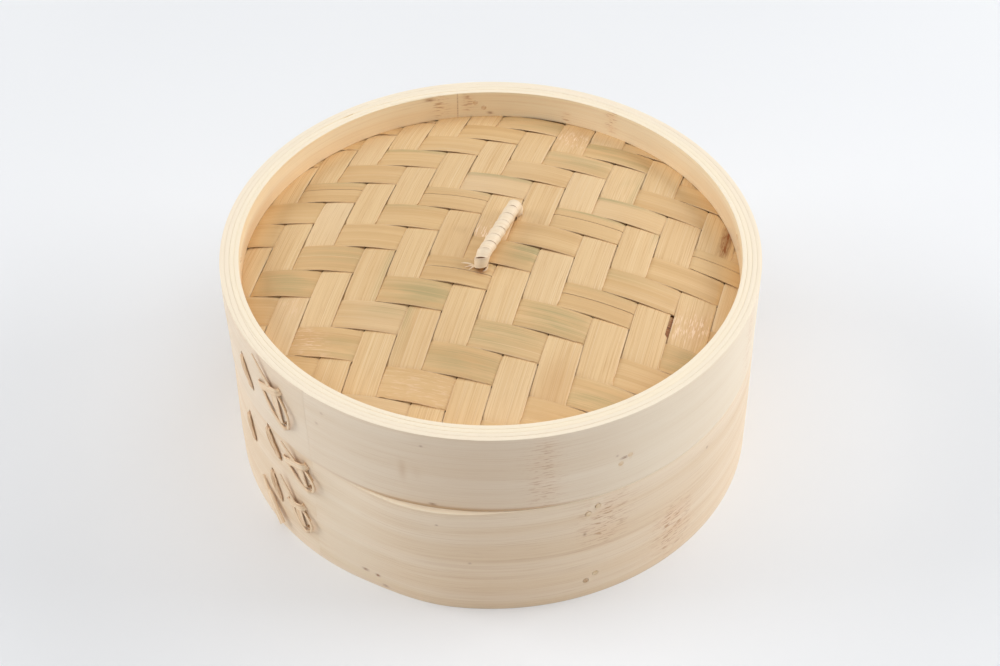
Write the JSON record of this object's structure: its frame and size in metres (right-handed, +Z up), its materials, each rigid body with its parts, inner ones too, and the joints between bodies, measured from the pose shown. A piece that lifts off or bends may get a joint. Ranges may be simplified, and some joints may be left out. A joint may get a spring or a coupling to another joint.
{
  "type": "bamboo steamer basket",
  "caption": "Round bamboo steamer basket with a slatted floor and a lift-off, domed lid of woven splints with a small wrapped handle.",
  "frame": {"origin": "middle of the base, on the surface that the basket stands on", "axes": "+Z up through the lid, -Y towards the viewer, +X to the viewer's right"},
  "size_m": [0.25, 0.25, 0.1225],
  "materials": {
    "inner_hoop": "planed bamboo, pale straw, matte",
    "lacing": "split rattan, tan, satin",
    "outer_hoop": "satin bamboo skin, pale straw with fine grain along the strip",
    "peg": "split bamboo peg, matte",
    "floor": "planed bamboo, matte",
    "handle_core": "rattan core, matte brown",
    "handle_wrap": "peeled rattan strip, pale cream, satin",
    "warp_splint": "split bamboo, straight fibre grain, satin",
    "weft_splint": "split bamboo skin, greenish straw, satin"
  },
  "bodies": {
    "basket": {"basket_base_hoop": "inner_hoop", "basket_inner_hoop": "inner_hoop", "basket_lower_lacing": "lacing", "basket_outer_hoop": "outer_hoop", "basket_pegs": "peg", "basket_upper_lacing": "lacing", "floor_bearer_1": "floor", "floor_bearer_2": "floor", "floor_pins": "peg", "floor_slat_01": "floor", "floor_slat_02": "floor", "floor_slat_03": "floor", "floor_slat_04": "floor", "floor_slat_05": "floor", "floor_slat_06": "floor", "floor_slat_07": "floor", "floor_slat_08": "floor", "floor_slat_09": "floor", "floor_slat_10": "floor", "floor_slat_11": "floor"},
    "lid": {"handle_core": "handle_core", "handle_toggles": "peg", "handle_wrap": "handle_wrap", "lid_inner_hoop": "inner_hoop", "lid_lacing": "lacing", "lid_outer_hoop": "outer_hoop", "lid_pegs": "peg", "lid_seat_hoop": "inner_hoop", "lining_warps": "warp_splint", "lining_wefts": "weft_splint", "warp_splint_01": "warp_splint", "warp_splint_02": "warp_splint", "warp_splint_03": "warp_splint", "warp_splint_04": "warp_splint", "warp_splint_05": "warp_splint", "warp_splint_06": "warp_splint", "warp_splint_07": "warp_splint", "warp_splint_08": "warp_splint", "warp_splint_09": "warp_splint", "warp_splint_10": "warp_splint", "warp_splint_11": "warp_splint", "warp_splint_12": "warp_splint", "warp_splint_13": "warp_splint", "warp_splint_14": "warp_splint", "warp_splint_15": "warp_splint", "weft_splint_01": "weft_splint", "weft_splint_02": "weft_splint", "weft_splint_03": "weft_splint", "weft_splint_04": "weft_splint", "weft_splint_05": "weft_splint", "weft_splint_06": "weft_splint", "weft_splint_07": "weft_splint", "weft_splint_08": "weft_splint", "weft_splint_09": "weft_splint", "weft_splint_10": "weft_splint", "weft_splint_11": "weft_splint", "weft_splint_12": "weft_splint", "weft_splint_13": "weft_splint", "weft_splint_14": "weft_splint"}
  },
  "joints": [
    {"name": "lid_lift", "type": "slide", "parent": "basket", "child": "lid", "axis": [0, 0, 1], "range_m": [0, 0.12]}
  ]
}
